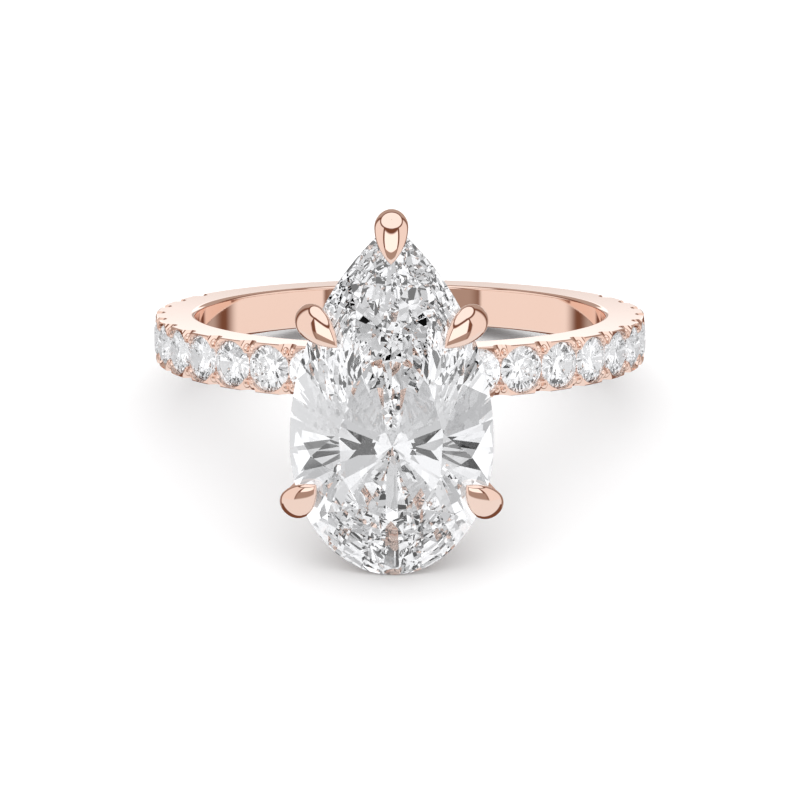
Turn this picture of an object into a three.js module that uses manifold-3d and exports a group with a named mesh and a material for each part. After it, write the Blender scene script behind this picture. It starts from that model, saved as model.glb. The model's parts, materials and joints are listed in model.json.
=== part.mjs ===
// Engagement ring: a pear brilliant in a five-claw basket on a tapered, scalloped pave shank.
//
// Units are millimetres. The ring is drawn in its own ring frame first: the finger axis is Z,
// the middle of the finger hole is the origin, and the head stands towards -Y. The whole ring is
// then laid down the way it rests on a table, on the back of the shank and the round end of the
// pear, with the origin on the table under the middle of the ring's box.
import * as THREE from 'three';
import { mergeVertices } from 'three/addons/utils/BufferGeometryUtils.js';
import { ConvexGeometry } from 'three/addons/geometries/ConvexGeometry.js';
import Module from 'manifold-3d';

const wasm = await Module();
wasm.setup();

// Shank: finger hole, wall and the taper from the shoulders to the back.
const HOLE_RADIUS = 8.65;
const SHANK_RADIUS = 10.31;
const FRONT_WIDTH = 2.05;
const BACK_WIDTH = 1.78;
const EDGE_ROUND = 0.3;
const SHANK_SEGMENTS = 64;

// Pave: equal round brilliants, ten on each side of the head.
const MELEE_RADIUS = 0.905;
const MELEE_GIRDLE_RADIUS = 10.06;
const MELEE_PAVILION = 0.72;
const MELEE_CROWN = 0.24;
const MELEE_TABLE = 0.56;
const MELEE_SIDES = 8;
const MELEE_PER_SIDE = 10;
const FIRST_MELEE_ANGLE = THREE.MathUtils.degToRad(19.2);
const MELEE_PITCH = THREE.MathUtils.degToRad(10.6);
const SCALLOP_RADIUS = 0.26;
const SCALLOP_DEPTH = 0.75;
const SCALLOP_SIDES = 8;

// Pear brilliant: outline in the plane of its girdle, then its heights along the line of sight.
const PEAR = { halfWidth: 3.93, tip: 6.51, wide: -1.97, end: -7.2 };
const PEAR_CULET = -2.3;
const GIRDLE_DISTANCE = 14.2;
const GIRDLE_THICKNESS = 0.2;
const PEAR_PAVILION = 3.6;
const PEAR_CROWN = 1.1;
const PEAR_TABLE = 0.49;
const ROUND_END_STEPS = 11;
const SIDE_STEPS = 7;

// Basket: base on the shank, two gallery rails and five claws.
const BASE = { halfLength: 1.5, halfWidth: 1.5, outer: 10.72, inner: 9.75, sides: 24 };
const LOWER_RAIL = { outer: 0.42, inner: 0.3, centre: -1.8, near: 11.05, far: 11.45 };
const UPPER_RAIL = { outer: 0.81, inner: 0.67, centre: PEAR.wide, near: 12.35, far: 12.9 };
const CLAW_RADIUS = 0.5;
const CLAW_SIDES = 8;
const CLAW_STEPS = 14;
const CLAW_ROOT_DISTANCE = 10.3;
const CLAW_GIRDLE_OFFSET = 0.25;
const PAD_RADIUS = 0.64;
const PAD_SIDES = 12;
const PAD_RINGS = 4;
const PAD_REST = 0.35;
const PAD_TIP_LIFT = 0.95;

// Each claw stands in one plane: it runs outwards from its root to the pad's round end, at a
// bearing from the X axis, and folds back over the stone to the pad's point.
const CLAWS = [
  { name: 'claw_point', pad: [0, 6.4], bearing: 90, reach: 5.2, overlap: 1.37 },
  { name: 'claw_shoulder_left', pad: [-3.05, 2.77], bearing: 137, reach: 2.75, overlap: 1.37 },
  { name: 'claw_shoulder_right', pad: [3.05, 2.77], bearing: 43, reach: 2.75, overlap: 1.37 },
  { name: 'claw_lower_left', pad: [-3.67, -4.3], bearing: 225, reach: 4.1, overlap: 1.12 },
  { name: 'claw_lower_right', pad: [3.67, -4.3], bearing: -45, reach: 4.1, overlap: 1.12 },
];

// Room left between one piece and the piece cut to fit it.
const FIT_GAP = 0.04;

const ROSE_GOLD = { color: 0xe0a184, roughness: 0.12, metalness: 1 };
const DIAMOND = { color: 0xf4f6f8, roughness: 0.02, metalness: 0 };

// ---- solids --------------------------------------------------------------------------------

function toSolid(geometry) {
  const bare = geometry.clone();
  bare.deleteAttribute('normal');
  bare.deleteAttribute('uv');
  const welded = mergeVertices(bare, 1e-4);
  const mesh = new wasm.Mesh({
    numProp: 3,
    vertProperties: new Float32Array(welded.attributes.position.array),
    triVerts: new Uint32Array(welded.index.array),
  });
  return new wasm.Manifold(mesh);
}

function toGeometry(solid) {
  const mesh = solid.getMesh();
  const geometry = new THREE.BufferGeometry();
  geometry.setAttribute('position', new THREE.BufferAttribute(mesh.vertProperties, 3));
  geometry.setIndex(new THREE.BufferAttribute(mesh.triVerts, 1));
  geometry.computeVertexNormals();
  return geometry;
}

function subMesh(name, solid, finish) {
  const mesh = new THREE.Mesh(toGeometry(solid), new THREE.MeshStandardMaterial(finish));
  mesh.name = name;
  return mesh;
}

// A solid turned about its own Z axis; the profile runs anticlockwise as [radius, height] pairs.
function turned(profile, sides, phase = 0) {
  const points = profile.map(([radius, height]) => new THREE.Vector2(radius, height));
  return new THREE.LatheGeometry(points, sides, phase).rotateX(Math.PI / 2);
}

// Lays a flat drawing in X and Z (drawn as X and Y) on the girdle side, from near to far.
function extrudedTowardsHead(shape, near, far) {
  const geometry = new THREE.ExtrudeGeometry(shape, {
    depth: far - near,
    bevelEnabled: false,
    steps: 1,
  });
  return geometry.rotateX(Math.PI / 2).translate(0, -near, 0);
}

// ---- outlines ------------------------------------------------------------------------------

// Half an ellipse for the round end, then one arc up each side to the tip.
function pearOutline({ halfWidth, tip, wide, end }) {
  const outline = [];
  for (let step = 0; step <= ROUND_END_STEPS; step += 1) {
    const angle = -Math.PI + (Math.PI * step) / ROUND_END_STEPS;
    outline.push([halfWidth * Math.cos(angle), wide + (wide - end) * Math.sin(angle)]);
  }
  const rise = tip - wide;
  const arcRadius = (halfWidth ** 2 + rise ** 2) / (2 * halfWidth);
  const side = [];
  for (let step = 1; step < SIDE_STEPS; step += 1) {
    const height = (rise * step) / SIDE_STEPS;
    side.push([halfWidth - arcRadius + Math.sqrt(arcRadius ** 2 - height ** 2), wide + height]);
  }
  outline.push(...side, [0, tip]);
  outline.push(...side.reverse().map(([x, z]) => [-x, z]));
  return outline;
}

function scaledPear(scale, centre, grow = 0) {
  return {
    halfWidth: PEAR.halfWidth * scale + grow,
    tip: centre + (PEAR.tip - PEAR.wide) * scale + grow,
    wide: centre,
    end: centre + (PEAR.end - PEAR.wide) * scale - grow,
  };
}

function shapeOf(outline) {
  return new THREE.Shape(outline.map(([x, z]) => new THREE.Vector2(x, z)));
}

// ---- shank ---------------------------------------------------------------------------------

function widthAt(y) {
  const share = (y + SHANK_RADIUS) / (2 * SHANK_RADIUS);
  return FRONT_WIDTH + (BACK_WIDTH - FRONT_WIDTH) * share;
}

function plainBand() {
  const half = FRONT_WIDTH / 2;
  const profile = [
    [HOLE_RADIUS, EDGE_ROUND - half],
    [HOLE_RADIUS + EDGE_ROUND / 3, EDGE_ROUND / 3 - half],
    [HOLE_RADIUS + EDGE_ROUND, -half],
    [SHANK_RADIUS, -half],
    [SHANK_RADIUS, half],
    [HOLE_RADIUS + EDGE_ROUND, half],
    [HOLE_RADIUS + EDGE_ROUND / 3, half - EDGE_ROUND / 3],
    [HOLE_RADIUS, half - EDGE_ROUND],
    [HOLE_RADIUS, EDGE_ROUND - half],
  ];
  const band = turned(profile, SHANK_SEGMENTS, Math.PI / SHANK_SEGMENTS);
  const places = band.attributes.position;
  for (let index = 0; index < places.count; index += 1) {
    places.setZ(index, (places.getZ(index) * widthAt(places.getY(index))) / FRONT_WIDTH);
  }
  return band;
}

// Turns something made on +Z so that its axis runs out through the shank at an angle from the head.
function placeOnShank(geometry, angle) {
  return geometry.rotateX(Math.PI / 2).rotateZ(angle);
}

function roundBrilliant(grow = 0, open = 0) {
  const radius = MELEE_RADIUS + grow;
  const edge = 0.03 + grow;
  const crown = open > 0
    ? [[radius, open], [0, open]]
    : [[radius, edge], [radius * MELEE_TABLE, MELEE_CROWN], [0, MELEE_CROWN]];
  const profile = [[0, -MELEE_PAVILION - grow], [radius, -edge], ...crown];
  return turned(profile, MELEE_SIDES, Math.PI / MELEE_SIDES).translate(0, 0, MELEE_GIRDLE_RADIUS);
}

function meleeAngles() {
  const steps = Array.from({ length: MELEE_PER_SIDE }, (_, index) => index);
  return steps.map((index) => FIRST_MELEE_ANGLE + index * MELEE_PITCH);
}

function scallop(angle, side) {
  const profile = [
    [0, SHANK_RADIUS - SCALLOP_DEPTH],
    [SCALLOP_RADIUS, SHANK_RADIUS - SCALLOP_DEPTH],
    [SCALLOP_RADIUS, SHANK_RADIUS + SCALLOP_DEPTH],
    [0, SHANK_RADIUS + SCALLOP_DEPTH],
  ];
  const edge = widthAt(-SHANK_RADIUS * Math.cos(angle)) / 2;
  const cutter = placeOnShank(turned(profile, SCALLOP_SIDES), angle);
  return cutter.translate(0, 0, side * edge);
}

function shankSolid() {
  let shank = toSolid(plainBand());
  for (const hand of [-1, 1]) {
    for (const angle of meleeAngles()) {
      const seat = placeOnShank(roundBrilliant(FIT_GAP, SCALLOP_DEPTH), hand * angle);
      shank = shank.subtract(toSolid(seat));
    }
    for (let gap = 0; gap <= MELEE_PER_SIDE; gap += 1) {
      const angle = hand * (FIRST_MELEE_ANGLE + (gap - 0.5) * MELEE_PITCH);
      shank = shank.subtract(toSolid(scallop(angle, -1)));
      shank = shank.subtract(toSolid(scallop(angle, 1)));
    }
  }
  return shank;
}

// ---- centre stone --------------------------------------------------------------------------

function pearSolid(grow = 0) {
  const edge = GIRDLE_THICKNESS / 2 + grow;
  const points = [new THREE.Vector3(0, PEAR_PAVILION + 2 * grow - GIRDLE_DISTANCE, PEAR_CULET)];
  for (const [x, z] of pearOutline(scaledPear(1, PEAR.wide, grow))) {
    points.push(new THREE.Vector3(x, edge - GIRDLE_DISTANCE, z));
    points.push(new THREE.Vector3(x, -edge - GIRDLE_DISTANCE, z));
  }
  for (const [x, z] of pearOutline(scaledPear(PEAR_TABLE, PEAR.wide, grow))) {
    points.push(new THREE.Vector3(x, -PEAR_CROWN - grow - GIRDLE_DISTANCE, z));
  }
  return toSolid(new ConvexGeometry(points));
}

// ---- basket --------------------------------------------------------------------------------

function railSolid(rail, grow = 0) {
  const shape = shapeOf(pearOutline(scaledPear(rail.outer, rail.centre, grow)));
  shape.holes.push(shapeOf(pearOutline(scaledPear(rail.inner, rail.centre, -grow))));
  return toSolid(extrudedTowardsHead(shape, rail.near - grow, rail.far + grow));
}

function baseSolid(grow = 0) {
  const outline = [];
  for (let side = 0; side < BASE.sides; side += 1) {
    const angle = (2 * Math.PI * side) / BASE.sides;
    const x = (BASE.halfLength + grow) * Math.cos(angle);
    outline.push([x, (BASE.halfWidth + grow) * Math.sin(angle)]);
  }
  const block = toSolid(extrudedTowardsHead(shapeOf(outline), BASE.inner - grow, BASE.outer + grow));
  if (grow > 0) {
    return block;
  }
  const half = FRONT_WIDTH / 2 + FIT_GAP;
  const bar = turned([[0, -half], [SHANK_RADIUS + FIT_GAP, -half],
    [SHANK_RADIUS + FIT_GAP, half], [0, half]], SHANK_SEGMENTS, Math.PI / SHANK_SEGMENTS);
  return block.subtract(toSolid(bar));
}

// Where a claw crosses a rail: the pad's place, drawn in to the rail's outer edge.
function crossing(rail, [x, z]) {
  const distance = (rail.near + rail.far) / 2;
  return new THREE.Vector3(rail.outer * x, -distance, rail.centre + rail.outer * (z - PEAR.wide));
}

// A tapered drop with a round end on the pad's centre and a point that lies on the crown.
function padSolid(centre, tip) {
  const axis = new THREE.Vector3().subVectors(tip, centre);
  const length = axis.length();
  const profile = [[0, -PAD_RADIUS]];
  for (let ring = 1; ring <= PAD_RINGS; ring += 1) {
    const angle = (Math.PI / 2) * (ring / PAD_RINGS - 1);
    profile.push([PAD_RADIUS * Math.cos(angle), PAD_RADIUS * Math.sin(angle)]);
  }
  for (let ring = 1; ring < PAD_RINGS; ring += 1) {
    const share = ring / PAD_RINGS;
    profile.push([PAD_RADIUS * (1 - share ** 1.6), length * share]);
  }
  profile.push([0, length]);
  const turn = new THREE.Quaternion().setFromUnitVectors(
    new THREE.Vector3(0, 0, 1),
    axis.normalize(),
  );
  const pad = turned(profile, PAD_SIDES).applyQuaternion(turn);
  return toSolid(pad.translate(centre.x, centre.y, centre.z));
}

function wireSolid(path) {
  const section = new THREE.Shape();
  for (let side = 0; side < CLAW_SIDES; side += 1) {
    const angle = (2 * Math.PI * side) / CLAW_SIDES;
    const corner = [CLAW_RADIUS * Math.cos(angle), CLAW_RADIUS * Math.sin(angle)];
    if (side === 0) {
      section.moveTo(...corner);
    } else {
      section.lineTo(...corner);
    }
  }
  return toSolid(new THREE.ExtrudeGeometry(section, {
    steps: CLAW_STEPS,
    extrudePath: new THREE.CatmullRomCurve3(path),
  }));
}

function clawSolid({ pad, bearing, reach, overlap }, neighbours) {
  const angle = THREE.MathUtils.degToRad(bearing);
  const place = (outward, distance) => new THREE.Vector3(
    pad[0] + outward * Math.cos(angle),
    -distance,
    pad[1] + outward * Math.sin(angle),
  );
  const centre = place(0, GIRDLE_DISTANCE + PAD_REST);
  const point = place(-overlap, GIRDLE_DISTANCE + PAD_TIP_LIFT);
  const path = [
    place(-reach, CLAW_ROOT_DISTANCE),
    crossing(LOWER_RAIL, pad),
    crossing(UPPER_RAIL, pad),
    place(CLAW_GIRDLE_OFFSET, GIRDLE_DISTANCE - PEAR_CROWN / 2),
    centre,
  ];
  let claw = wireSolid(path).add(padSolid(centre, point));
  for (const neighbour of neighbours) {
    claw = claw.subtract(neighbour);
  }
  return claw;
}

// ---- assembly ------------------------------------------------------------------------------

function addHead(ring) {
  ring.add(subMesh('head_base', baseSolid(), ROSE_GOLD));
  ring.add(subMesh('gallery_rail_lower', railSolid(LOWER_RAIL), ROSE_GOLD));
  ring.add(subMesh('gallery_rail_upper', railSolid(UPPER_RAIL), ROSE_GOLD));
  ring.add(subMesh('pear_stone', pearSolid(), DIAMOND));
  const neighbours = [
    pearSolid(FIT_GAP),
    railSolid(LOWER_RAIL, FIT_GAP),
    railSolid(UPPER_RAIL, FIT_GAP),
    baseSolid(FIT_GAP),
  ];
  for (const claw of CLAWS) {
    ring.add(subMesh(claw.name, clawSolid(claw, neighbours), ROSE_GOLD));
  }
}

function addMelee(ring) {
  for (const [hand, side] of [[-1, 'left'], [1, 'right']]) {
    meleeAngles().forEach((angle, index) => {
      const number = String(index + 1).padStart(2, '0');
      const stone = subMesh(`melee_${side}_${number}`, toSolid(roundBrilliant()), DIAMOND);
      stone.rotation.set(Math.PI / 2, 0, hand * angle, 'ZYX');
      ring.add(stone);
    });
  }
}

// The table touches the round end of the pear's girdle and the back edge of the shank.
function layDown(ring) {
  const drop = -PEAR.end - BACK_WIDTH / 2;
  ring.rotation.x = -Math.atan2(drop, GIRDLE_DISTANCE + SHANK_RADIUS);
  ring.updateMatrixWorld(true);
  const box = new THREE.Box3().setFromObject(ring, true);
  const middle = box.getCenter(new THREE.Vector3());
  ring.position.set(-middle.x, -middle.y, -box.min.z);
}

const ring = new THREE.Group();
ring.add(subMesh('shank', shankSolid(), ROSE_GOLD));
addHead(ring);
addMelee(ring);
layDown(ring);

const engagementRing = new THREE.Group();
engagementRing.add(ring);

export default engagementRing;
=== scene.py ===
"""Pear solitaire: a rose-gold engagement ring built at the bench, piece by piece.

Every piece is worked a thousand times full size (one unit is one millimetre) on a bench whose
Z axis is the finger axis and whose -Y side carries the head. lay_down() then brings it to real
size and lays it where the packed frame says that the ring rests.
"""
import json
import math

import bpy
from bpy.props import FloatProperty, FloatVectorProperty, IntProperty, PointerProperty
from mathutils import Matrix, Vector


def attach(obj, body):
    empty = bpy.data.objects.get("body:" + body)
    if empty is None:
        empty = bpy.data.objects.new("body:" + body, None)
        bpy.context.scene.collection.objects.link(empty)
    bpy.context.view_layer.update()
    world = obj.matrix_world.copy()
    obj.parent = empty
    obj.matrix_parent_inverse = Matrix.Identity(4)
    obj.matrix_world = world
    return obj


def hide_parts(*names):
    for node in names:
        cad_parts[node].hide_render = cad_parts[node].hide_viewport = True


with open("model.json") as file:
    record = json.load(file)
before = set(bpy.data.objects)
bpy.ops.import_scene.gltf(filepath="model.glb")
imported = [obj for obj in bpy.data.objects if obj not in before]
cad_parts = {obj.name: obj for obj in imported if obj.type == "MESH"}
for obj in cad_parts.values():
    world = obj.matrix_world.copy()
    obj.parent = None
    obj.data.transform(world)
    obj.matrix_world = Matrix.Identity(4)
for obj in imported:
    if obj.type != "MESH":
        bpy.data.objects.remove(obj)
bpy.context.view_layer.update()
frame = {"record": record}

bl_info = {
    "name": "Pear Solitaire Ring",
    "version": (1, 0, 0),
    "blender": (4, 5, 0),
    "location": "3D View > Sidebar > Ring",
    "description": "Builds a pear solitaire engagement ring on its packed frame",
    "category": "Object",
}

MM = 0.001
STONE_SIDE = Matrix.Rotation(math.radians(90), 4, "X")


def finger_axis():
    """The direction of the finger axis, half way between the two flat sides of the shank."""
    axes = {mount["name"]: Vector(mount["axis"]) for mount in frame["record"]["mounts"]}
    return (axes["upper_stacking_face"] - axes["lower_stacking_face"]).normalized()


def finger_hole_middle():
    low, high = frame["record"]["physics"]["openings"][0]["box_m"]
    return (Vector(low) + Vector(high)) / 2


def bench_to_table():
    axis = finger_axis()
    lean = math.atan2(axis.y, axis.z)
    turn = Matrix.Rotation(-lean, 4, "X")
    return Matrix.Translation(finger_hole_middle()) @ turn @ Matrix.Scale(MM, 4)


BENCH = bench_to_table()


# ---- sizes and colours ---------------------------------------------------------------------

def length(name, description, millimetres):
    return FloatProperty(
        name=name, description=description, default=millimetres * MM,
        min=0.0, precision=5, subtype="DISTANCE", unit="LENGTH",
    )


def angle(name, description, degrees):
    return FloatProperty(
        name=name, description=description, default=math.radians(degrees),
        subtype="ANGLE", unit="ROTATION",
    )


def colour(name, description, value):
    return FloatVectorProperty(
        name=name, description=description, default=value, size=3,
        min=0.0, max=1.0, subtype="COLOR",
    )


class RingShankSettings(bpy.types.PropertyGroup):
    """The band and its pave."""
    hole_radius: length("Hole Radius", "Inside radius of the finger hole", 8.65)
    outer_radius: length("Outer Radius", "Outside radius of the band", 10.31)
    front_width: length("Front Width", "Width of the band under the head", 2.05)
    back_width: length("Back Width", "Width of the band at the back", 1.78)
    comfort: length("Comfort Edge", "Rounding along the inside edges", 0.17)
    edge: length("Edge", "Rounding along the outside edges", 0.07)
    melee_radius: length("Melee Radius", "Girdle radius of the small stones at the head", 0.925)
    last_radius: length("Last Radius", "Girdle radius of the small stones at the ends", 0.885)
    melee_seat: length("Melee Seat", "Distance of a small stone's girdle from the axis", 10.12)
    first_melee: angle("First Melee", "Angle of the first small stone from the head", 19.2)
    melee_pitch: angle("Melee Pitch", "Angle from one small stone to the next", 10.6)
    melee_count: IntProperty(
        name="Melee Count", description="Small stones on each side of the head", default=10, min=1,
    )


class RingPearSettings(bpy.types.PropertyGroup):
    """The centre stone, with its heights measured from the middle of its girdle."""
    half_width: length("Half Width", "Half of the stone's width", 3.93)
    tip: length("Tip", "Height of the tip above the middle of the band", 6.51)
    wide: FloatProperty(
        name="Widest", description="Height of the widest line above the middle of the band",
        default=-1.97 * MM, precision=5, subtype="DISTANCE", unit="LENGTH",
    )
    end: FloatProperty(
        name="Round End", description="Height of the round end above the middle of the band",
        default=-7.176 * MM, precision=5, subtype="DISTANCE", unit="LENGTH",
    )
    culet: FloatProperty(
        name="Culet", description="Height of the culet above the middle of the band",
        default=-2.3 * MM, precision=5, subtype="DISTANCE", unit="LENGTH",
    )
    girdle_distance: length("Girdle Distance", "Distance of the girdle from the axis", 14.2)
    girdle: length("Girdle", "Thickness of the girdle", 0.16)
    pavilion: length("Pavilion", "Depth of the stone behind its girdle", 3.6)
    crown: length("Crown", "Height of the stone in front of its girdle", 1.1)
    table: FloatProperty(
        name="Table", description="Size of the table against the outline", default=0.52,
        min=0.3, max=0.8, subtype="FACTOR",
    )


class RingStudioSettings(bpy.types.PropertyGroup):
    """The surface and the camera."""
    camera_distance: FloatProperty(
        name="Camera Distance", description="Distance of the camera from the finger hole",
        default=0.150, subtype="DISTANCE", unit="LENGTH",
    )
    camera_height: angle("Camera Height", "Angle of the camera above the plane of the band", 8.9)
    camera_side: angle("Camera Side", "Angle of the camera towards the right", 1.3)
    lens: FloatProperty(
        name="Lens", description="Focal length", default=159.4, subtype="DISTANCE_CAMERA",
    )
    aim_down: angle("Aim", "How far below the finger hole the camera aims", 1.06)
    surface: colour("Surface", "Colour of the table top", (0.93, 0.93, 0.935))


SETTINGS = {
    "ring_shank": RingShankSettings,
    "ring_pear": RingPearSettings,
    "ring_studio": RingStudioSettings,
}


# ---- bench work ----------------------------------------------------------------------------

def put_down():
    """Leaves edit mode with nothing selected."""
    if bpy.context.object and bpy.context.object.mode != "OBJECT":
        bpy.ops.object.mode_set(mode="OBJECT")
    bpy.ops.object.select_all(action="DESELECT")


def pick_up(*pieces):
    put_down()
    for piece in pieces:
        piece.select_set(True)
    bpy.context.view_layer.objects.active = pieces[0]


def named(name):
    piece = bpy.context.object
    piece.name = name
    piece.data.name = name
    return piece


def apply_modifier(piece, kind, **values):
    pick_up(piece)
    modifier = piece.modifiers.new(kind.title(), kind)
    for key, value in values.items():
        setattr(modifier, key, value)
    bpy.ops.object.modifier_apply(modifier=modifier.name)


def select_faces(piece, test):
    """Selects the faces whose normals pass a test, and no others."""
    pick_up(piece)
    bpy.ops.object.mode_set(mode="EDIT")
    bpy.ops.mesh.select_all(action="DESELECT")
    bpy.ops.object.mode_set(mode="OBJECT")
    for face in piece.data.polygons:
        face.select = test(face.normal)
    bpy.ops.object.mode_set(mode="EDIT")


def select_corners(piece, test):
    """Selects the vertices whose places pass a test, and no others."""
    pick_up(piece)
    bpy.ops.object.mode_set(mode="EDIT")
    bpy.ops.mesh.select_mode(type="VERT")
    bpy.ops.mesh.select_all(action="DESELECT")
    bpy.ops.object.mode_set(mode="OBJECT")
    for vertex in piece.data.vertices:
        vertex.select = test(vertex.co)
    bpy.ops.object.mode_set(mode="EDIT")


def tidy_mesh(piece, merge=1e-4):
    pick_up(piece)
    bpy.ops.object.mode_set(mode="EDIT")
    bpy.ops.mesh.select_all(action="SELECT")
    bpy.ops.mesh.remove_doubles(threshold=merge)
    bpy.ops.mesh.normals_make_consistent(inside=False)
    bpy.ops.object.mode_set(mode="OBJECT")


def moved(piece, matrix):
    """Moves a piece on the bench, with its place kept in its mesh."""
    pick_up(piece)
    piece.matrix_world = matrix
    bpy.ops.object.transform_apply(location=True, rotation=True, scale=True)


def copied(piece, name):
    pick_up(piece)
    bpy.ops.object.duplicate(linked=False)
    return named(name)


def joined(pieces, name):
    pick_up(*pieces)
    bpy.ops.object.join()
    return named(name)


def cut_with(piece, cutter, operation="DIFFERENCE"):
    apply_modifier(piece, "BOOLEAN", operation=operation, solver="EXACT", object=cutter)
    pick_up(cutter)
    bpy.ops.object.delete()


def polish(piece, degrees):
    """Shades a piece smooth up to an angle, with its flat faces kept flat."""
    pick_up(piece)
    bpy.ops.object.shade_smooth_by_angle(angle=math.radians(degrees))
    apply_modifier(piece, "WEIGHTED_NORMAL", keep_sharp=True, weight=100)


def lay_down(piece, material, slot, *nodes):
    """Brings a finished piece to size and place, and hands it to the frame."""
    moved(piece, BENCH)
    piece.data.materials.clear()
    piece.data.materials.append(material)
    piece.visible_transmission = slot != "rose_gold"
    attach(piece, "root")
    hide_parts(*nodes)
    return piece


# ---- finishes ------------------------------------------------------------------------------

def new_material(name):
    material = bpy.data.materials.new(name)
    material.use_nodes = True
    return material, material.node_tree.nodes, material.node_tree.links


def surface_wear_group():
    """Fine polishing marks: a mask that drifts over the surface, and a faint height."""
    name = "Polishing Marks"
    if name in bpy.data.node_groups:
        return bpy.data.node_groups[name]
    group = bpy.data.node_groups.new(name, "ShaderNodeTree")
    group.interface.new_socket("Scale", in_out="INPUT", socket_type="NodeSocketFloat")
    group.interface.new_socket("Smooth", in_out="INPUT", socket_type="NodeSocketFloat")
    group.interface.new_socket("Rough", in_out="INPUT", socket_type="NodeSocketFloat")
    group.interface.new_socket("Roughness", in_out="OUTPUT", socket_type="NodeSocketFloat")
    group.interface.new_socket("Height", in_out="OUTPUT", socket_type="NodeSocketFloat")
    nodes, links = group.nodes, group.links
    inputs = nodes.new("NodeGroupInput")
    outputs = nodes.new("NodeGroupOutput")
    place = nodes.new("ShaderNodeTexCoord")
    drift = nodes.new("ShaderNodeTexNoise")
    drift.inputs["Detail"].default_value = 4.0
    grain = nodes.new("ShaderNodeTexNoise")
    grain.inputs["Detail"].default_value = 2.0
    finer = nodes.new("ShaderNodeMath")
    finer.operation = "MULTIPLY"
    finer.inputs[1].default_value = 9.0
    spread = nodes.new("ShaderNodeMapRange")
    spread.inputs["From Min"].default_value = 0.35
    spread.inputs["From Max"].default_value = 0.7
    links.new(place.outputs["Object"], drift.inputs["Vector"])
    links.new(place.outputs["Object"], grain.inputs["Vector"])
    links.new(inputs.outputs["Scale"], drift.inputs["Scale"])
    links.new(inputs.outputs["Scale"], finer.inputs[0])
    links.new(finer.outputs[0], grain.inputs["Scale"])
    links.new(drift.outputs["Fac"], spread.inputs["Value"])
    links.new(inputs.outputs["Smooth"], spread.inputs["To Min"])
    links.new(inputs.outputs["Rough"], spread.inputs["To Max"])
    links.new(spread.outputs["Result"], outputs.inputs["Roughness"])
    links.new(grain.outputs["Fac"], outputs.inputs["Height"])
    return group


def rose_gold():
    """Mirror-polished rose gold, a little redder where the alloy pools, with faint polish marks,
    and painted shade: a flat grey to diffuse rays, which darkens the table top's shade round it.
    """
    name = "Rose Gold, Mirror Polish"
    if name in bpy.data.materials:
        return bpy.data.materials[name]
    material, nodes, links = new_material(name)
    shader = nodes["Principled BSDF"]
    shader.inputs["Metallic"].default_value = 1.0
    marks = nodes.new("ShaderNodeGroup")
    marks.node_tree = surface_wear_group()
    marks.inputs["Scale"].default_value = 600.0
    marks.inputs["Smooth"].default_value = 0.02
    marks.inputs["Rough"].default_value = 0.06
    place = nodes.new("ShaderNodeTexCoord")
    tone = nodes.new("ShaderNodeTexNoise")
    tone.inputs["Scale"].default_value = 150.0
    ramp = nodes.new("ShaderNodeValToRGB")
    ramp.color_ramp.elements[0].position = 0.3
    ramp.color_ramp.elements[0].color = (0.905, 0.685, 0.585, 1)
    ramp.color_ramp.elements[1].position = 0.7
    ramp.color_ramp.elements[1].color = (0.925, 0.715, 0.62, 1)
    bump = nodes.new("ShaderNodeBump")
    bump.inputs["Strength"].default_value = 0.02
    bump.inputs["Distance"].default_value = 0.00001
    links.new(place.outputs["Object"], tone.inputs["Vector"])
    links.new(tone.outputs["Fac"], ramp.inputs["Fac"])
    # Painted shade: to diffuse rays the gold is a flat neutral grey, so the table top under and
    # round the ring takes darker, grey shade instead of warm light bounced off the gold.
    ray = nodes.new("ShaderNodeLightPath")
    painted_shade_bounce = nodes.new("ShaderNodeMixRGB")
    painted_shade_bounce.inputs["Color2"].default_value = (0.3, 0.3, 0.31, 1)
    links.new(ray.outputs["Is Diffuse Ray"], painted_shade_bounce.inputs["Fac"])
    links.new(ramp.outputs["Color"], painted_shade_bounce.inputs["Color1"])
    links.new(painted_shade_bounce.outputs["Color"], shader.inputs["Base Color"])
    links.new(marks.outputs["Roughness"], shader.inputs["Roughness"])
    links.new(marks.outputs["Height"], bump.inputs["Height"])
    links.new(bump.outputs["Normal"], shader.inputs["Normal"])
    return material


def diamond(name):
    """Colourless diamond with a trace of polish haze."""
    if name in bpy.data.materials:
        return bpy.data.materials[name]
    material, nodes, links = new_material(name)
    shader = nodes["Principled BSDF"]
    shader.inputs["Transmission Weight"].default_value = 1.0
    shader.inputs["IOR"].default_value = 2.417
    marks = nodes.new("ShaderNodeGroup")
    marks.node_tree = surface_wear_group()
    marks.inputs["Scale"].default_value = 900.0
    marks.inputs["Smooth"].default_value = 0.0
    marks.inputs["Rough"].default_value = 0.003
    place = nodes.new("ShaderNodeTexCoord")
    tone = nodes.new("ShaderNodeTexNoise")
    tone.inputs["Scale"].default_value = 300.0
    ramp = nodes.new("ShaderNodeValToRGB")
    ramp.color_ramp.elements[0].color = (0.97, 0.98, 1.0, 1)
    ramp.color_ramp.elements[1].color = (1.0, 1.0, 1.0, 1)
    links.new(place.outputs["Object"], tone.inputs["Vector"])
    links.new(tone.outputs["Fac"], ramp.inputs["Fac"])
    links.new(ramp.outputs["Color"], shader.inputs["Base Color"])
    links.new(marks.outputs["Roughness"], shader.inputs["Roughness"])
    return material


# ---- stone cutting -------------------------------------------------------------------------

# Main facets' places along one side of an outline, from the round end (0) to the tip (1).
ROUND_STATIONS = (0.0, 0.25, 0.5, 0.75, 1.0)
PEAR_STATIONS = (0.0, 0.19, 0.38, 0.58, 0.79, 1.0)
STAR_SHARE = 0.5
LOWER_HALF_SHARE = 0.83


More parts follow.
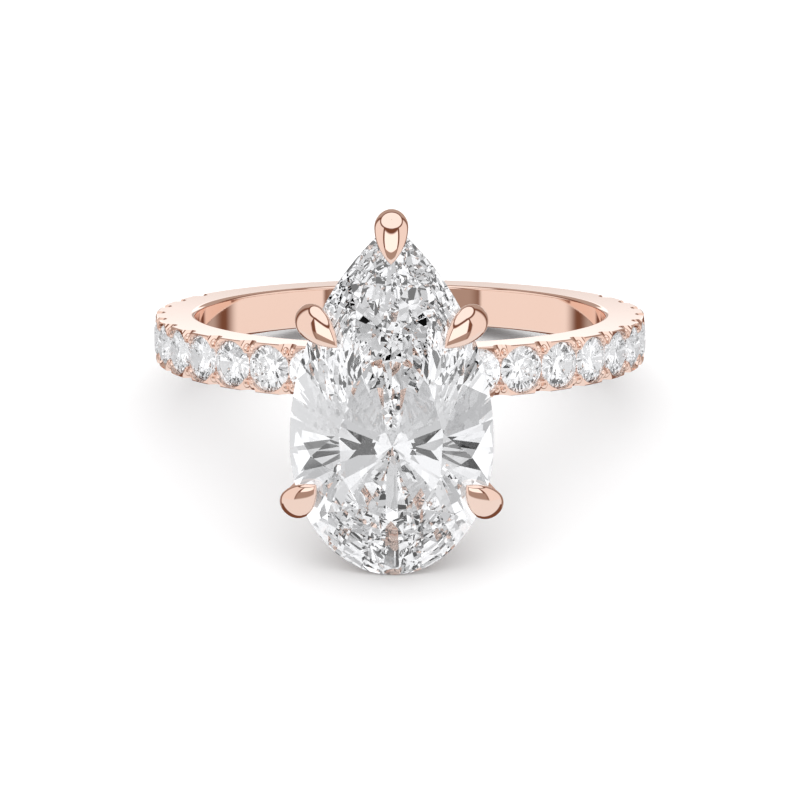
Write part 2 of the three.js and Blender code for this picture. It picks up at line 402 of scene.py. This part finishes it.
class Outline:
    """A stone's girdle outline, symmetrical left and right, from its lower end to its upper end."""

    def __init__(self, half_width, upper, middle, lower, arc_sides):
        self.half_width = half_width
        self.upper = upper
        self.middle = middle
        self.lower = lower
        self.arc_sides = arc_sides

    def right(self, share):
        """The point on the right-hand side at a share of the way from the lower end."""
        if share <= 0.5 or not self.arc_sides:
            turn = math.pi * (share - 0.5)
            rise = self.middle - self.lower if share <= 0.5 else self.upper - self.middle
            return Vector((self.half_width * math.cos(turn), self.middle + rise * math.sin(turn)))
        rise = self.upper - self.middle
        radius = (self.half_width ** 2 + rise ** 2) / (2 * self.half_width)
        height = rise * (2 * share - 1)
        side = self.half_width - radius + math.sqrt(radius ** 2 - height ** 2)
        return Vector((max(side, 0.0), self.middle + height))

    def point(self, share, hand):
        place = self.right(share)
        return Vector((hand * place.x, place.y))

    def tangent(self, share, hand):
        if share == 0.0 or share == 1.0 and not self.arc_sides:
            return Vector((1, 0))
        step = 1e-4
        along = self.right(min(share + step, 1.0)) - self.right(share - step)
        return Vector((hand * along.x, along.y)).normalized()

    def loop(self, steps):
        """The whole outline, anticlockwise, with a number of steps on each side."""
        shares = [step / steps for step in range(steps + 1)]
        right = [self.point(share, 1) for share in shares]
        left = [self.point(share, -1) for share in reversed(shares[1:-1])]
        return right + left


def grind(point, normal):
    """Grinds away everything on the outer side of a flat facet."""
    bpy.ops.mesh.select_all(action="SELECT")
    bpy.ops.mesh.bisect(
        plane_co=point, plane_no=normal, use_fill=True, clear_outer=True, threshold=1e-6,
    )


def distinct(cuts):
    """Leaves out any facet that lies in the plane of an earlier one."""
    kept = []
    for point, normal in cuts:
        twins = (
            normal.dot(other) > 1 - 1e-6 and abs(normal.dot(point - place)) < 1e-4
            for place, other in kept
        )
        if not any(twins):
            kept.append((point, normal))
    return kept


def facet(first, second, third, inside):
    normal = (second - first).cross(third - first).normalized()
    if normal.dot(inside - first) > 0:
        normal.negate()
    return first, normal


def lifted(place, height):
    return Vector((place.x, place.y, height))


def meeting(line_start, line_end, share):
    return line_start.lerp(line_end, share)


def plane_crossing(first, second, height):
    """Where two facets and a level plane meet."""
    (point_a, normal_a), (point_b, normal_b) = first, second
    rows = Matrix((normal_a, normal_b, Vector((0, 0, 1))))
    values = Vector((normal_a.dot(point_a), normal_b.dot(point_b), height))
    return rows.inverted() @ values


def half_facets(outline, stations, mains, edge_height, end_height, share, inside):
    """The pairs of facets between neighbouring mains, which reach a share of the way in."""
    cuts = []
    for hand in (1, -1):
        for near, far in zip(stations, stations[1:]):
            outer = plane_crossing(mains[hand, near], mains[hand, far], edge_height)
            inner = plane_crossing(mains[hand, near], mains[hand, far], end_height)
            corner = meeting(outer, inner, share)
            middle = (near + far) / 2
            for station in ((near + middle) / 2, (middle + far) / 2):
                touch = lifted(outline.point(station, hand), edge_height)
                along = lifted(outline.tangent(station, hand), 0)
                cuts.append(facet(touch, touch + along, corner, inside))
    return cuts


def cut_brilliant(name, outline, stations, culet, girdle, crown, pavilion, table, steps):
    """Cuts a brilliant: column of rough, table, then crown and pavilion facets."""
    rough = outline.loop(steps)
    put_down()
    bpy.ops.mesh.primitive_circle_add(vertices=len(rough), radius=1.0, fill_type="NGON")
    stone = named(name)
    for vertex, place in zip(stone.data.vertices, rough):
        vertex.co = lifted(place, -pavilion)
    bpy.ops.object.mode_set(mode="EDIT")
    bpy.ops.mesh.select_all(action="SELECT")
    column = (0, 0, crown + pavilion)
    bpy.ops.mesh.extrude_region_move(TRANSFORM_OT_translate={"value": column})
    bpy.ops.mesh.select_all(action="SELECT")
    bpy.ops.mesh.normals_make_consistent(inside=False)

    inside = lifted(culet, 0)
    apex = lifted(culet, -pavilion)
    edge = girdle / 2
    pavilion_mains, crown_mains, corners = {}, {}, {}
    for hand in (1, -1):
        for station in stations:
            touch = outline.point(station, hand)
            along = lifted(outline.tangent(station, hand), 0)
            low, high = lifted(touch, -edge), lifted(touch, edge)
            corner = lifted(culet.lerp(touch, table), crown)
            corners[hand, station] = corner
            pavilion_mains[hand, station] = facet(low, low + along, apex, inside)
            crown_mains[hand, station] = facet(high, high + along, corner, inside)

    cuts = list(pavilion_mains.values()) + list(crown_mains.values())
    cuts += half_facets(
        outline, stations, pavilion_mains, -edge, -pavilion, LOWER_HALF_SHARE, inside,
    )
    cuts += half_facets(outline, stations, crown_mains, edge, crown, STAR_SHARE, inside)
    for hand in (1, -1):
        for near, far in zip(stations, stations[1:]):
            outer = plane_crossing(crown_mains[hand, near], crown_mains[hand, far], edge)
            inner = plane_crossing(crown_mains[hand, near], crown_mains[hand, far], crown)
            reach = meeting(outer, inner, STAR_SHARE)
            cuts.append(facet(corners[hand, near], corners[hand, far], reach, inside))
    for point, normal in distinct(cuts):
        grind(point, normal)
    bpy.ops.mesh.select_all(action="SELECT")
    bpy.ops.mesh.remove_doubles(threshold=1e-4)
    bpy.ops.mesh.normals_make_consistent(inside=False)
    bpy.ops.object.mode_set(mode="OBJECT")
    bpy.ops.object.shade_flat()
    return stone


class RING_OT_pear(bpy.types.Operator):
    """Cut the pear brilliant and set it in the basket"""
    bl_idname = "ring.pear"
    bl_label = "Cut Pear Brilliant"

    def execute(self, context):
        size = context.scene.ring_pear
        outline = Outline(
            size.half_width / MM, size.tip / MM, size.wide / MM, size.end / MM, arc_sides=True,
        )
        stone = cut_brilliant(
            "pear_brilliant", outline, PEAR_STATIONS, Vector((0, size.culet / MM)),
            size.girdle / MM, size.crown / MM, size.pavilion / MM, size.table, steps=48,
        )
        moved(stone, STONE_SIDE @ Matrix.Translation((0, 0, size.girdle_distance / MM)))
        lay_down(stone, diamond("Diamond"), "diamond", "pear_stone")
        return {"FINISHED"}


MELEE_GIRDLE = 0.05
MELEE_CROWN = 0.25
MELEE_PAVILION = 0.74
MELEE_TABLE = 0.56


def melee_places(shank):
    """The number, angle from the head and girdle radius of each small stone."""
    first, last = shank.melee_radius / MM, shank.last_radius / MM
    for hand, side in ((-1, "left"), (1, "right")):
        for index in range(shank.melee_count):
            turn = hand * (shank.first_melee + index * shank.melee_pitch)
            share = index / (shank.melee_count - 1)
            yield f"{side}_{index + 1:02d}", turn, first + (last - first) * share


def at_angle(turn):
    return Matrix.Rotation(turn, 4, "Z") @ STONE_SIDE


class RING_OT_melee(bpy.types.Operator):
    """Cut one small round brilliant and set a copy in every seat of the shank"""
    bl_idname = "ring.melee"
    bl_label = "Cut Melee"

    def execute(self, context):
        shank = context.scene.ring_shank
        outline = Outline(1.0, 1.0, 0.0, -1.0, arc_sides=False)
        pattern = cut_brilliant(
            "melee_pattern", outline, ROUND_STATIONS, Vector((0, 0)), MELEE_GIRDLE,
            MELEE_CROWN, MELEE_PAVILION, MELEE_TABLE, steps=24,
        )
        out = Matrix.Translation((0, 0, shank.melee_seat / MM))
        for number, turn, radius in melee_places(shank):
            stone = copied(pattern, f"brilliant_{number}")
            moved(stone, at_angle(turn) @ out @ Matrix.Diagonal((radius, radius, 1, 1)))
            lay_down(stone, diamond("Melee Diamond"), "melee_diamond", f"melee_{number}")
        pick_up(pattern)
        bpy.ops.object.delete()
        return {"FINISHED"}


# ---- shank ---------------------------------------------------------------------------------

BAND_STEPS = 240
SEAT_GAP = 0.015
SEAT_FLARE = 0.045
CHANNEL_FLOOR = 9.88
CHANNEL_HALF = 0.55
CHANNEL_DEPTH = 1.0
CHANNEL_STEPS = 90
SCOOP_RADIUS = 0.42
SCOOP_DEPTH = 0.42
SCOOP_LEAN = math.radians(45)
BEAD_SPREAD = 0.155
BEAD_SIZE = (0.145, 0.22, 0.17)
BEAD_LEAN = math.radians(-25)
BEAD_INSET = 0.31
BEAD_DISTANCE = 10.15


def width_at(shank, y):
    """The width of the tapered band at a place along the head-to-back line, in millimetres."""
    radius = shank.outer_radius / MM
    share = (y + radius) / (2 * radius)
    front, back = shank.front_width / MM, shank.back_width / MM
    return front + (back - front) * share


def spin_band(shank):
    """The plain band: a rounded section turned round the finger axis, then tapered."""
    inner, outer = shank.hole_radius / MM, shank.outer_radius / MM
    width = shank.front_width / MM
    put_down()
    bpy.ops.mesh.primitive_plane_add(size=1.0)
    band = named("pave_shank")
    wall = Matrix.Translation(((inner + outer) / 2, 0, 0)) @ Matrix.Rotation(math.pi / 2, 4, "X")
    moved(band, wall @ Matrix.Diagonal((outer - inner, width, 1, 1)))
    for radius, corner in ((shank.comfort / MM, inner), (shank.edge / MM, outer)):
        select_corners(band, lambda place: abs(place.x - corner) < 1e-4)
        bpy.ops.mesh.bevel(
            offset_type="OFFSET", offset=radius, segments=6, profile=0.5, affect="VERTICES",
        )
    bpy.ops.mesh.select_all(action="SELECT")
    bpy.ops.mesh.delete(type="ONLY_FACE")
    bpy.ops.mesh.select_all(action="SELECT")
    bpy.ops.mesh.spin(
        steps=BAND_STEPS, angle=2 * math.pi, center=(0, 0, 0), axis=(0, 0, 1),
    )
    bpy.ops.object.mode_set(mode="OBJECT")
    tidy_mesh(band)
    for vertex in band.data.vertices:
        vertex.co.z *= width_at(shank, vertex.co.y) / width
    return band


def seat_cutter():
    """The bur that cuts a seat of unit radius: a cone below the girdle, a flared wall above."""
    depth = MELEE_PAVILION + 0.3
    put_down()
    bpy.ops.mesh.primitive_cone_add(
        vertices=40, radius1=0.0, radius2=1.0, depth=depth, location=(0, 0, -depth / 2),
    )
    bur = named("seat_bur")
    bpy.ops.object.transform_apply(location=True)
    select_faces(bur, lambda normal: normal.z > 0.9)
    bpy.ops.mesh.extrude_region_move(TRANSFORM_OT_translate={"value": (0, 0, MELEE_CROWN)})
    flare = 1 + SEAT_FLARE
    bpy.ops.transform.resize(value=(flare, flare, 1), center_override=(0, 0, 0))
    bpy.ops.mesh.extrude_region_move(TRANSFORM_OT_translate={"value": (0, 0, 0.8)})
    bpy.ops.object.mode_set(mode="OBJECT")
    return bur


def cut_seats(shank, band):
    out = Matrix.Translation((0, 0, shank.melee_seat / MM - MELEE_GIRDLE / 2))
    places = []
    for _, turn, radius in melee_places(shank):
        size = Matrix.Diagonal((radius + SEAT_GAP, radius + SEAT_GAP, 1, 1))
        places.append(at_angle(turn) @ out @ size)
    for start in (0, 1):
        cut_with(band, spread_copies(seat_cutter(), places[start::2], "seats"))


def cut_channel(shank, band):
    """Clears the metal between neighbouring stones, on both sides of the head."""
    sweep = (shank.melee_count - 1) * shank.melee_pitch
    for hand in (-1, 1):
        put_down()
        bpy.ops.mesh.primitive_plane_add(size=1.0)
        blade = named("channel_blade")
        start = math.pi / 2 - hand * shank.first_melee
        face = Matrix.Rotation(-start, 4, "Z")
        face = face @ Matrix.Translation((CHANNEL_FLOOR + CHANNEL_DEPTH / 2, 0, 0))
        face = face @ Matrix.Rotation(math.pi / 2, 4, "X")
        moved(blade, face @ Matrix.Diagonal((CHANNEL_DEPTH, 2 * CHANNEL_HALF, 1, 1)))
        bpy.ops.object.mode_set(mode="EDIT")
        bpy.ops.mesh.select_all(action="SELECT")
        bpy.ops.mesh.spin(
            steps=CHANNEL_STEPS, angle=-hand * sweep, center=(0, 0, 0), axis=(0, 0, 1),
        )
        bpy.ops.object.mode_set(mode="OBJECT")
        tidy_mesh(blade)
        cut_with(band, blade)


def gap_angles(shank):
    """The angle from the head of each gap between small stones, both sides of the head."""
    for hand in (-1, 1):
        for gap in range(shank.melee_count + 1):
            yield hand * (shank.first_melee + (gap - 0.5) * shank.melee_pitch)


def spread_copies(pattern, places, name):
    copies = []
    for index, place in enumerate(places):
        piece = copied(pattern, f"{name}_{index}")
        moved(piece, place)
        copies.append(piece)
    pick_up(pattern)
    bpy.ops.object.delete()
    return joined(copies, name)


def edge_places(shank, distance, inset, shifts, lean):
    """Places at every gap on both edges of the band, leaning outwards, shifted along it."""
    for turn in gap_angles(shank):
        half = width_at(shank, -shank.outer_radius / MM * math.cos(turn)) / 2
        for side in (-1, 1):
            for shift in shifts:
                place = at_angle(turn + shift / distance)
                place = place @ Matrix.Translation((0, side * (half - inset), distance))
                yield place @ Matrix.Rotation(side * lean, 4, "X")


def scoop_cutter():
    """The round file that cuts a scallop down across the band's edge."""
    put_down()
    bpy.ops.mesh.primitive_cylinder_add(
        vertices=48, radius=SCOOP_RADIUS, depth=2.4, rotation=(math.pi / 2, 0, 0),
    )
    scoop = named("scallop_file")
    bpy.ops.object.transform_apply(location=True, rotation=True, scale=True)
    drop = SCOOP_DEPTH * math.cos(SCOOP_LEAN)
    moved(scoop, Matrix.Translation((0, 0, SCOOP_RADIUS - drop)))
    return scoop


def cut_scallops(shank, band):
    places = edge_places(shank, shank.outer_radius / MM, 0.0, (0.0,), -SCOOP_LEAN)
    cut_with(band, spread_copies(scoop_cutter(), list(places), "scallops"))


def bead_pattern():
    put_down()
    bpy.ops.mesh.primitive_uv_sphere_add(segments=16, ring_count=10, radius=1.0)
    bead = named("bead_pattern")
    moved(bead, Matrix.Diagonal((*BEAD_SIZE, 1)))
    return bead


def raise_beads(shank, band):
    shifts = (-BEAD_SPREAD, BEAD_SPREAD)
    places = edge_places(shank, BEAD_DISTANCE, BEAD_INSET, shifts, BEAD_LEAN)
    cut_with(band, spread_copies(bead_pattern(), list(places), "beads"), "UNION")


class RING_OT_shank(bpy.types.Operator):
    """Turn the band, cut its seats and scallops, and raise its beads"""
    bl_idname = "ring.shank"
    bl_label = "Make Shank"

    def execute(self, context):
        shank = context.scene.ring_shank
        band = spin_band(shank)
        cut_seats(shank, band)
        cut_channel(shank, band)
        cut_scallops(shank, band)
        raise_beads(shank, band)
        polish(band, 32)
        lay_down(band, rose_gold(), "rose_gold", "shank")
        return {"FINISHED"}


# ---- basket --------------------------------------------------------------------------------

# Claw: place of the pad's round end, bearing from the X axis, reach from the root, and the
# length of the pad over the stone.
CLAWS = {
    "claw_point": (Vector((0, 6.4)), 90, 5.2, 1.37),
    "claw_shoulder_left": (Vector((-3.05, 2.77)), 137, 2.75, 1.37),
    "claw_shoulder_right": (Vector((3.05, 2.77)), 43, 2.75, 1.37),
    "claw_lower_left": (Vector((-3.67, -4.3)), 225, 4.1, 1.12),
    "claw_lower_right": (Vector((3.67, -4.3)), -45, 4.1, 1.12),
}
CLAW_SIDES = 12
# Stations up the wire: share of the reach, distance from the axis, thickness and width.
WIRE_STATIONS = (
    (0.00, 10.40, 0.62, 0.70),
    (0.14, 10.95, 0.62, 0.70),
    (0.36, 11.60, 0.64, 0.74),
    (0.62, 12.30, 0.68, 0.82),
    (0.87, 13.05, 0.74, 0.95),
    (1.02, 13.65, 0.80, 1.08),
    (1.04, 14.10, 0.78, 1.04),
    (1.03, 14.45, 0.74, 0.96),
    (1.03, 14.52, 0.70, 0.90),
)
PAD_RADIUS = 0.65
PAD_STEPS = 48
PAD_HEIGHT = 0.5
PAD_UNDERSIDE = 0.26
PAD_DISTANCE = 14.42
PAD_SLOPE = 0.45
PAD_TAPER = 0.8
LOWER_RAIL = (0.36, -1.8, 11.12, 0.2)
UPPER_RAIL = (0.74, -1.97, 12.62, 0.27)


def draw_wire(name, reach):
    """Draws the claw's wire out of a round section, one station at a time."""
    stations = [((share - 1) * reach, *rest) for share, *rest in WIRE_STATIONS]
    put_down()
    bpy.ops.mesh.primitive_circle_add(vertices=CLAW_SIDES, radius=0.5, fill_type="NGON")
    wire = named(name)
    outward, forward, thickness, width = stations[0]
    bpy.ops.object.mode_set(mode="EDIT")
    bpy.ops.mesh.select_all(action="SELECT")
    bpy.ops.transform.resize(value=(thickness, width, 1), center_override=(0, 0, 0))
    bpy.ops.transform.translate(value=(outward, 0, forward))
    lean = 0.0
    for index in range(1, len(stations)):
        behind, here = stations[index - 1], stations[index]
        ahead = stations[min(index + 1, len(stations) - 1)]
        step = (here[0] - behind[0], 0, here[1] - behind[1])
        bpy.ops.mesh.extrude_region_move(TRANSFORM_OT_translate={"value": step})
        middle = (here[0], 0, here[1])
        turn = math.atan2(ahead[0] - behind[0], ahead[1] - behind[1])
        straighten(middle, -lean)
        growth = (here[2] / behind[2], here[3] / behind[3], 1)
        bpy.ops.transform.resize(value=growth, center_override=middle)
        straighten(middle, turn)
        lean = turn
    bpy.ops.mesh.select_all(action="SELECT")
    bpy.ops.mesh.normals_make_consistent(inside=False)
    bpy.ops.object.mode_set(mode="OBJECT")
    apply_modifier(wire, "SUBSURF", levels=3, render_levels=3)
    return wire


def straighten(middle, turn):
    """Turns the selected section in the claw's plane."""
    if abs(turn) < 1e-6:
        return
    bpy.ops.transform.rotate(value=-turn, orient_axis="Y", center_override=middle)


def pad_sections(overlap):
    """Middle, half-width and half-height of the pad's sections, from its round end to its point."""
    for step in range(1, PAD_STEPS):
        along = math.cos(math.pi * step / PAD_STEPS)
        round_off = math.sqrt(1 - along ** 2)
        taper = round_off ** PAD_TAPER if along < 0 else 1.0
        out = along * (overlap if along < 0 else PAD_RADIUS)
        above, below = (
            size * round_off * math.sqrt(taper) for size in (PAD_HEIGHT, PAD_UNDERSIDE)
        )
        rise = (above - below) / 2 - out * PAD_SLOPE
        half_width = PAD_RADIUS * round_off * taper
        yield Vector((out, 0, PAD_DISTANCE + rise)), half_width, (above + below) / 2


def dome_pad(overlap):
    """Draws the pad out of a round section, from its round end to its point on the stone."""
    sections = list(pad_sections(overlap))
    put_down()
    bpy.ops.mesh.primitive_circle_add(
        vertices=64, radius=1.0, fill_type="NGON", rotation=(0, math.pi / 2, 0),
    )
    pad = named("pad_blank")
    bpy.ops.object.transform_apply(rotation=True)
    bpy.ops.object.mode_set(mode="EDIT")
    bpy.ops.mesh.select_all(action="SELECT")
    middle, across, high = sections[0]
    bpy.ops.transform.resize(value=(1, across, high), center_override=(0, 0, 0))
    bpy.ops.transform.translate(value=middle)
    for before, after in zip(sections, sections[1:]):
        step = after[0] - before[0]
        bpy.ops.mesh.extrude_region_move(TRANSFORM_OT_translate={"value": step})
        growth = (1, after[1] / before[1], after[2] / before[2])
        bpy.ops.transform.resize(value=growth, center_override=after[0])
    bpy.ops.object.mode_set(mode="OBJECT")
    tidy_mesh(pad, merge=1e-5)
    return pad


def make_claw(name, reach, overlap):
    wire = draw_wire(name, reach)
    cut_with(wire, dome_pad(overlap), "UNION")
    return wire


class RING_OT_claws(bpy.types.Operator):
    """Draw the five claws and fold their pads over the stone"""
    bl_idname = "ring.claws"
    bl_label = "Make Claws"

    def execute(self, context):
        for node, (pad, bearing, reach, overlap) in CLAWS.items():
            claw = make_claw(f"polished_{node}", reach, overlap)
            turn = Matrix.Rotation(math.radians(bearing), 4, "Z")
            moved(claw, STONE_SIDE @ Matrix.Translation((pad.x, pad.y, 0)) @ turn)
            polish(claw, 50)
            lay_down(claw, rose_gold(), "rose_gold", node)
        return {"FINISHED"}


def pear_rail(name, outline, scale, centre, distance, radius):
    """A round wire bent to the stone's outline."""
    places = outline.loop(40)
    put_down()
    bpy.ops.mesh.primitive_circle_add(vertices=len(places), radius=1.0)
    rail = named(name)
    for vertex, place in zip(rail.data.vertices, places):
        drawn = (place - Vector((0, outline.middle))) * scale
        vertex.co = (drawn.x, drawn.y + centre, distance)
    bpy.ops.object.convert(target="CURVE")
    rail = bpy.context.object
    rail.data.bevel_depth = radius
    rail.data.bevel_resolution = 4
    bpy.ops.object.convert(target="MESH")
    rail = named(name)
    tidy_mesh(rail)
    moved(rail, STONE_SIDE)
    return rail


class RING_OT_rails(bpy.types.Operator):
    """Bend the two gallery rails"""
    bl_idname = "ring.rails"
    bl_label = "Bend Gallery Rails"

    def execute(self, context):
        size = context.scene.ring_pear
        outline = Outline(
            size.half_width / MM, size.tip / MM, size.wide / MM, size.end / MM, arc_sides=True,
        )
        for node, rail in (("gallery_rail_lower", LOWER_RAIL), ("gallery_rail_upper", UPPER_RAIL)):
            wire = pear_rail(f"round_{node}", outline, *rail)
            polish(wire, 60)
            lay_down(wire, rose_gold(), "rose_gold", node)
        return {"FINISHED"}


class RING_OT_base(bpy.types.Operator):
    """Shape the saddle between the basket and the band"""
    bl_idname = "ring.base"
    bl_label = "Make Head Base"

    def execute(self, context):
        shank = context.scene.ring_shank
        put_down()
        bpy.ops.mesh.primitive_cylinder_add(vertices=96, radius=1.5, depth=0.97)
        saddle = named("saddle_base")
        moved(saddle, STONE_SIDE @ Matrix.Translation((0, 0, 10.235)))
        apply_modifier(
            saddle, "BEVEL", width=0.14, segments=4, limit_method="ANGLE",
        )
        radius = shank.outer_radius / MM + 0.01
        bpy.ops.mesh.primitive_cylinder_add(
            vertices=256, radius=radius, depth=shank.front_width / MM + 0.02,
        )
        cut_with(saddle, named("band_form"))
        polish(saddle, 32)
        lay_down(saddle, rose_gold(), "rose_gold", "head_base")
        return {"FINISHED"}


# ---- stage ---------------------------------------------------------------------------------

FLOOR_SIZE = 4.0


def floor_material(tint):
    material, nodes, links = new_material("Matt White Card")
    shader = nodes["Principled BSDF"]
    shader.inputs["Base Color"].default_value = (*tint, 1)
    shader.inputs["Roughness"].default_value = 0.6
    shader.inputs["Specular IOR Level"].default_value = 0.2
    return material


def add_floor(tint):
    put_down()
    bpy.ops.mesh.primitive_plane_add(size=FLOOR_SIZE)
    floor = named("table_top")
    floor.data.materials.append(floor_material(tint))
    floor.visible_glossy = False
    floor.visible_transmission = False


# The studio: a dim surround and its cards. A card is a span of bearings from the head's side, a
# span of heights, a colour, and the fading at its two sides and at its top and bottom. Angles are
# in degrees. The metal and the stones have their own cards.
TABLE_GLOW = 1.46
LIGHT_BOUNCES = 16
METAL_SURROUND = (0.2, 0.09, 0.055)
METAL_CARDS = (
    ((-1, 48), (-40, 16), (0.45, 0.35, 0.3), (1, 10, 5)),
    ((-1, 38), (12, 50), (1.3, 1.3, 1.3), (1, 3, 4)),
    ((44, 119), (-35, 51), (0.98, 0.91, 0.875), (3, 14, 3)),
    ((121, 181), (-40, 51), (0.5, 0.41, 0.365), (14, 1, 3)),
    ((-1, 181), (54, 91), (1.15, 1.15, 1.15), (1, 1, 3)),
    ((-1, 104), (-91, -12), (0.95, 0.95, 0.95), (1, 8, 6)),
    ((148, 181), (-8.6, 3), (1.4, 1.4, 1.4), (8, 1, 3.4)),
)
STONE_SURROUND = (0.6, 0.6, 0.605)
STONE_CARDS = (
    ((8, 50), (-24, 62), (1.1, 1.1, 1.11), (2, 2, 2)),
    ((56, 106), (-35, 66), (1.4, 1.4, 1.41), (2, 6, 4)),
    ((-1, 7), (4, 40), (0.01, 0.01, 0.01), (1, 1, 1)),
    ((22, 25), (-24, 62), (0.02, 0.02, 0.02), (1, 1, 1)),
    ((50, 56), (-35, 66), (0.1, 0.1, 0.1), (1, 1, 1)),
    ((80, 83), (-35, 66), (0.02, 0.02, 0.02), (1, 1, 1)),
    ((8, 106), (23, 26), (0.02, 0.02, 0.02), (1, 1, 1)),
    ((-1, 181), (70, 91), (1.0, 1.0, 1.01), (1, 1, 2)),
    ((118, 181), (-60, 25), (0.62, 0.62, 0.625), (4, 1, 4)),
)


class NodeBench:
    """Small steps for wiring sums of nodes."""

    def __init__(self, tree):
        self.nodes = tree.nodes
        self.links = tree.links

    def calc(self, operation, *values):
        node = self.nodes.new("ShaderNodeMath")
        node.operation = operation
        self.feed(node, values)
        return node.outputs[0]

    def feed(self, node, values):
        for socket, value in zip(node.inputs, values):
            if isinstance(value, (int, float)):
                socket.default_value = value
            else:
                self.links.new(value, socket)

    def ramp_step(self, value, low, high, start=0.0, end=1.0):
        node = self.nodes.new("ShaderNodeMapRange")
        node.interpolation_type = "SMOOTHSTEP"
        self.feed(node, (value, low, high, start, end))
        return node.outputs["Result"]

    def blend(self, share, first, second):
        node = self.nodes.new("ShaderNodeMix")
        node.data_type = "RGBA"
        sockets = [socket for socket in node.inputs if socket.enabled]
        for socket, value in zip(sockets, (share, first, second)):
            if isinstance(value, tuple):
                socket.default_value = (*value, 1)
            else:
                self.links.new(value, socket)
        return [socket for socket in node.outputs if socket.enabled][0]


def lit_by_cards(bench, bearing, height, surround, cards):
    """The surround's colour with each card laid over it in turn."""
    colour = surround
    for bearings, heights, tint, fades in cards:
        near, far, level = (math.radians(value) for value in fades)
        left, right = (math.radians(value) for value in bearings)
        low, high = (math.radians(value) for value in heights)
        edges = (
            bench.ramp_step(bearing, left, left + near),
            bench.ramp_step(bearing, right - far, right, 1.0, 0.0),
            bench.ramp_step(height, low, low + level),
            bench.ramp_step(height, high - level, high, 1.0, 0.0),
        )
        mask = edges[0]
        for edge in edges[1:]:
            mask = bench.calc("MULTIPLY", mask, edge)
        colour = bench.blend(mask, colour, tint)
    return colour


def add_studio_light():
    """Soft boxes and cards all round, even for the table top."""
    world = bpy.data.worlds.new("Studio Cards")
    bpy.context.scene.world = world
    world.use_nodes = True
    bench = NodeBench(world.node_tree)
    place = bench.nodes.new("ShaderNodeTexCoord")
    split = bench.nodes.new("ShaderNodeSeparateXYZ")
    bench.links.new(place.outputs["Generated"], split.inputs[0])
    side = bench.calc("ABSOLUTE", split.outputs["X"])
    towards = bench.calc("MULTIPLY", split.outputs["Y"], -1.0)
    bearing = bench.calc("ARCTAN2", side, towards)
    height = bench.calc("ARCSINE", split.outputs["Z"])
    metal = lit_by_cards(bench, bearing, height, METAL_SURROUND, METAL_CARDS)
    stone = lit_by_cards(bench, bearing, height, STONE_SURROUND, STONE_CARDS)
    ray = bench.nodes.new("ShaderNodeLightPath")
    colour = bench.blend(ray.outputs["Is Singular Ray"], metal, stone)
    colour = bench.blend(ray.outputs["Is Diffuse Ray"], colour, (TABLE_GLOW,) * 3)
    bench.links.new(colour, bench.nodes["Background"].inputs["Color"])


def add_camera(studio):
    """The camera looks at the finger hole from just above the plane of the band."""
    height, side = studio.camera_height, studio.camera_side
    towards = Vector((
        math.sin(side) * math.cos(height), -math.cos(side) * math.cos(height), math.sin(height),
    ))
    lean = BENCH.to_3x3().normalized()
    middle = BENCH.translation
    bpy.ops.object.camera_add()
    camera = bpy.context.object
    camera.name = "camera"
    back = (lean @ towards).normalized()
    right = (lean @ Vector((math.cos(side), math.sin(side), 0))).normalized()
    up = back.cross(right)
    turn = Matrix((right, up, back)).transposed().to_4x4()
    aim = Matrix.Rotation(-studio.aim_down, 4, "X")
    camera.matrix_world = Matrix.Translation(middle + back * studio.camera_distance) @ turn @ aim
    camera.data.lens = studio.lens
    camera.data.sensor_width = 36.0
    camera.data.clip_start = 0.005
    camera.data.clip_end = 20.0
    bpy.context.scene.camera = camera


class RING_OT_stage(bpy.types.Operator):
    """Set the camera, the studio cards and the table top"""
    bl_idname = "ring.stage"
    bl_label = "Set Stage"

    def execute(self, context):
        studio = context.scene.ring_studio
        add_camera(studio)
        add_studio_light()
        add_floor(studio.surface)
        scene = context.scene
        scene.view_settings.view_transform = "Standard"
        scene.cycles.max_bounces = LIGHT_BOUNCES
        scene.cycles.transmission_bounces = LIGHT_BOUNCES
        scene.cycles.glossy_bounces = LIGHT_BOUNCES
        return {"FINISHED"}


# ---- add-on --------------------------------------------------------------------------------

OPERATORS = (
    RING_OT_stage, RING_OT_shank, RING_OT_melee, RING_OT_base, RING_OT_rails, RING_OT_claws,
    RING_OT_pear,
)


class RING_PT_panel(bpy.types.Panel):
    """Sizes and build steps of the ring"""
    bl_label = "Pear Solitaire Ring"
    bl_idname = "RING_PT_panel"
    bl_space_type = "VIEW_3D"
    bl_region_type = "UI"
    bl_category = "Ring"

    def draw(self, context):
        for key, settings in SETTINGS.items():
            box = self.layout.box()
            box.label(text=settings.__doc__)
            for name in settings.__annotations__:
                box.prop(getattr(context.scene, key), name)
        for operator in OPERATORS:
            self.layout.operator(operator.bl_idname)


def register():
    for settings in SETTINGS.values():
        bpy.utils.register_class(settings)
    for operator in OPERATORS:
        bpy.utils.register_class(operator)
    bpy.utils.register_class(RING_PT_panel)
    for key, settings in SETTINGS.items():
        setattr(bpy.types.Scene, key, PointerProperty(type=settings))


def unregister():
    for key in SETTINGS:
        delattr(bpy.types.Scene, key)
    bpy.utils.unregister_class(RING_PT_panel)
    for operator in reversed(OPERATORS):
        bpy.utils.unregister_class(operator)
    for settings in SETTINGS.values():
        bpy.utils.unregister_class(settings)


def main():
    register()
    bpy.ops.ring.stage()
    bpy.ops.ring.shank()
    bpy.ops.ring.melee()
    bpy.ops.ring.base()
    bpy.ops.ring.rails()
    bpy.ops.ring.claws()
    bpy.ops.ring.pear()
    put_down()


if __name__ == "__main__":
    main()
